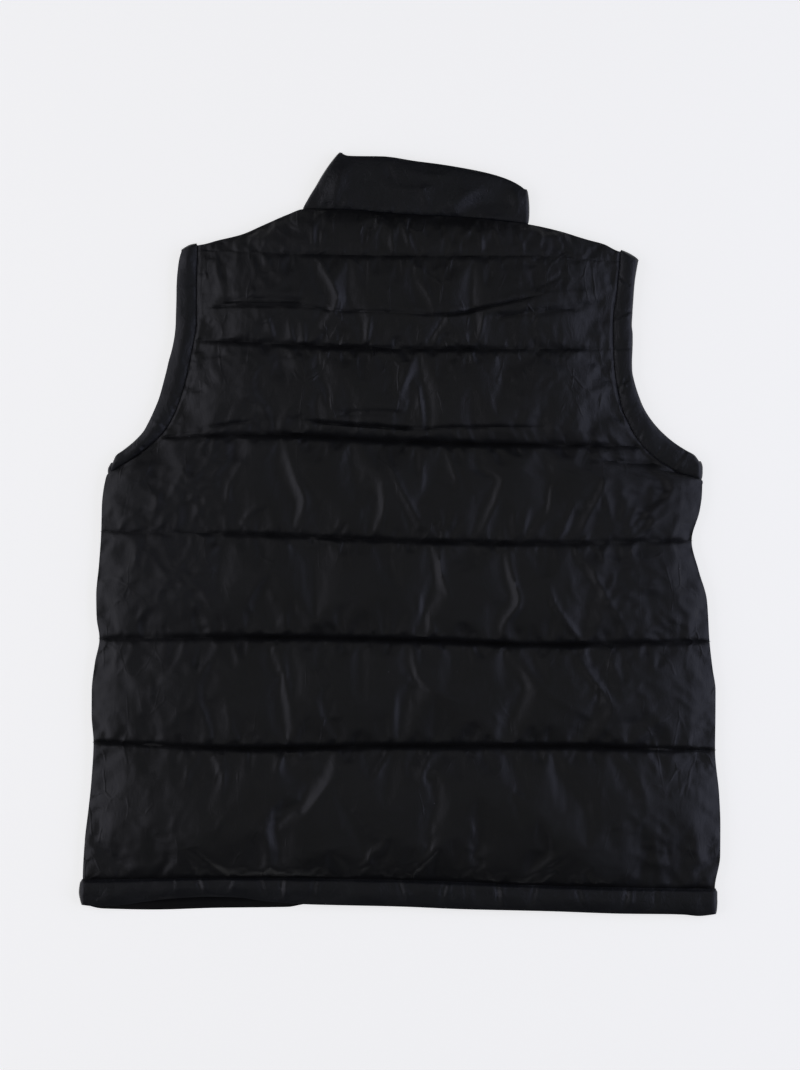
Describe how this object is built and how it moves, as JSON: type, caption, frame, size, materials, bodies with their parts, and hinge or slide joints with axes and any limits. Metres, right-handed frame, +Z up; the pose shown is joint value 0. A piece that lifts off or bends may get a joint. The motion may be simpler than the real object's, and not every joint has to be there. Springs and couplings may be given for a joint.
{
  "type": "puffer vest",
  "caption": "Quilted puffer vest laid flat and face down, with a stand collar, bound armholes, hem band and a front zip with a swinging pull tab.",
  "frame": {"origin": "centre of the vest's outline, at the surface that it lies on", "axes": "+X across the vest to the right as it is seen from above, +Y from the hem to the collar, +Z up from the fronts to the back"},
  "size_m": [0.6237, 0.7441, 0.0265],
  "materials": {
    "shell": "glossy black nylon taffeta over soft padding",
    "binding": "glossy black nylon, stitched down",
    "zip_tape": "matt black woven tape with moulded teeth",
    "zip_metal": "black enamelled metal"
  },
  "bodies": {
    "vest": {"back": "shell", "front_left": "shell", "front_right": "shell", "collar": "shell", "arm_binding_left": "binding", "arm_binding_right": "binding", "hem_band": "binding", "zip_tape_left": "zip_tape", "zip_tape_right": "zip_tape", "zip_slider": "zip_metal"},
    "zip_pull": {"zip_pull": "zip_metal"}
  },
  "joints": [
    {"name": "pull_swing", "type": "hinge", "parent": "vest", "child": "zip_pull", "pos_m": [0, 0.28, 0.00177], "axis": [1, 0, 0], "range_deg": [-3, 160]}
  ]
}
